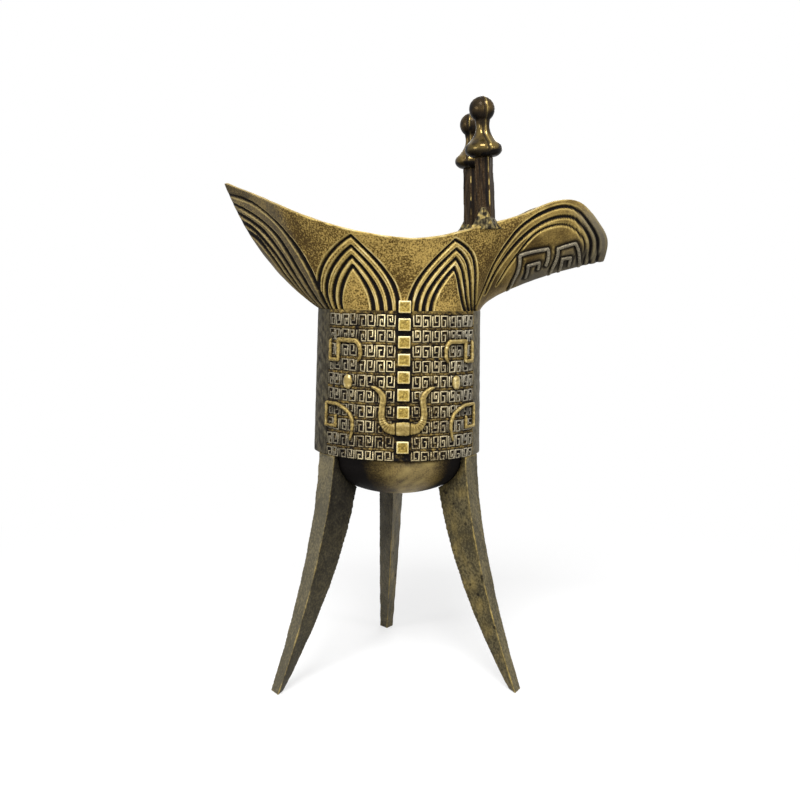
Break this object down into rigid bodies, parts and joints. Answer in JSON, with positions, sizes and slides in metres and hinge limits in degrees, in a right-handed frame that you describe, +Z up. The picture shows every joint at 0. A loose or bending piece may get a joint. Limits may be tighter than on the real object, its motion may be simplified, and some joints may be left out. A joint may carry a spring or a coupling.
{
  "type": "bronze jue vessel",
  "caption": "Bronze wine cup on blade legs, with a trough spout, a pointed tail, capped rim posts, a strap handle and a spiral-ground mask band.",
  "frame": {"origin": "point on the table under the cup's axis, between the three feet", "axes": "+Z up along the cup's axis, +X towards the spout, -Y towards the mask side, +Y towards the handle"},
  "size_m": [0.1324, 0.0824, 0.2002],
  "materials": {
    "body_bronze": "antiqued olive gold over dark brown patina",
    "leg_bronze": "antiqued grey olive, rubbed to gold on the edges",
    "post_bronze": "dark reddish brown patina",
    "gilt_relief": "rubbed bright gold",
    "mask_bronze": "rubbed gold over dark brown patina"
  },
  "bodies": {
    "root": {"mouth": "body_bronze", "cup": "body_bronze", "ornament_band": "body_bronze", "handle": "body_bronze", "leg_left": "leg_bronze", "leg_right": "leg_bronze", "leg_rear": "leg_bronze", "post_front": "post_bronze", "post_rear": "post_bronze", "cap_front": "post_bronze", "cap_rear": "post_bronze", "stud_column": "gilt_relief", "mask_mouth": "mask_bronze", "mask_eyes": "mask_bronze", "mask_upper_horns": "mask_bronze", "mask_lower_horns": "mask_bronze", "rear_eyes": "mask_bronze", "rear_upper_horns": "mask_bronze", "rear_lower_horns": "mask_bronze"}
  },
  "joints": []
}
